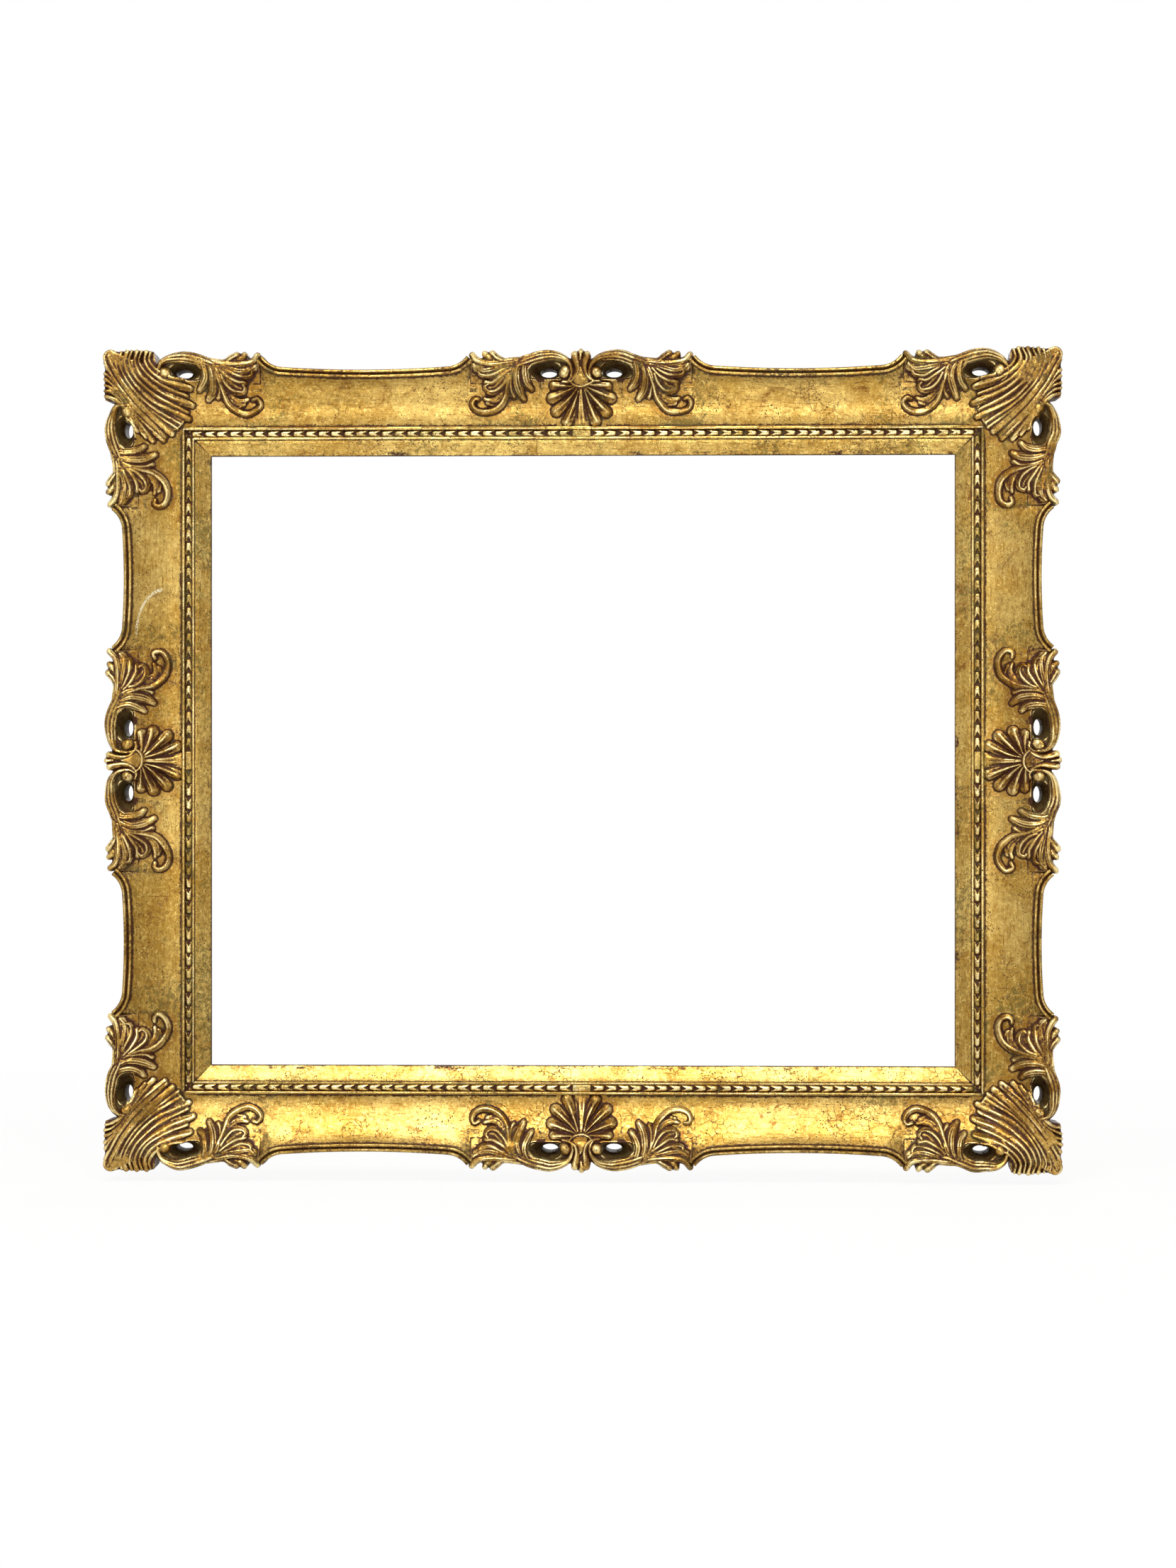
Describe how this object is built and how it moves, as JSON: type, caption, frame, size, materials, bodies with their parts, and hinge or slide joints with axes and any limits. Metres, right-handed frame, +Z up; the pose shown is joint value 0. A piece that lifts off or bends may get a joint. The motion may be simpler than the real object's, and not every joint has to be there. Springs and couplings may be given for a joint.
{
  "type": "picture frame",
  "caption": "Landscape picture frame with swept sides, a deep gilt cove and carved, pierced shell and leaf ornaments, for a picture held in the rebate behind it.",
  "frame": {"origin": "centre of the sight opening, in the plane of the frame's flat back", "axes": "+X along the width to the right, +Y out of the back towards the wall, +Z up; the carved front faces -Y"},
  "size_m": [0.7698, 0.0529, 0.6614],
  "materials": {
    "gilt_rail": "gold leaf over red-brown ground, aged",
    "gilt_moulding": "gold leaf, rubbed, with grey-green patina",
    "gilt_carving": "carved and gilded, dark toning in the recesses",
    "key_wood": "raw hardwood",
    "hanger_steel": "plated",
    "screw_steel": "plated"
  },
  "bodies": {
    "frame": {"top_rail": "gilt_rail", "left_rail": "gilt_rail", "bottom_rail": "gilt_rail", "right_rail": "gilt_rail", "top_sight_moulding": "gilt_moulding", "left_sight_moulding": "gilt_moulding", "bottom_sight_moulding": "gilt_moulding", "right_sight_moulding": "gilt_moulding", "centre_ornament_top": "gilt_carving", "centre_ornament_left": "gilt_carving", "centre_ornament_bottom": "gilt_carving", "centre_ornament_right": "gilt_carving", "corner_ornament_top_left": "gilt_carving", "corner_ornament_bottom_left": "gilt_carving", "corner_ornament_bottom_right": "gilt_carving", "corner_ornament_top_right": "gilt_carving", "mitre_keys": "key_wood", "hanger_strap_left": "hanger_steel", "hanger_strap_right": "hanger_steel", "hanger_screws_left": "screw_steel", "hanger_screws_right": "screw_steel"},
    "ring_left": {"hanger_ring_left": "hanger_steel"},
    "ring_right": {"hanger_ring_right": "hanger_steel"}
  },
  "joints": [
    {"name": "ring_left_hinge", "type": "hinge", "parent": "frame", "child": "ring_left", "pos_m": [-0.338, 0.00283, 0.115], "axis": [1, 0, 0], "range_deg": [0, 180]},
    {"name": "ring_right_hinge", "type": "hinge", "parent": "frame", "child": "ring_right", "pos_m": [0.338, 0.00283, 0.115], "axis": [1, 0, 0], "range_deg": [0, 180]}
  ]
}
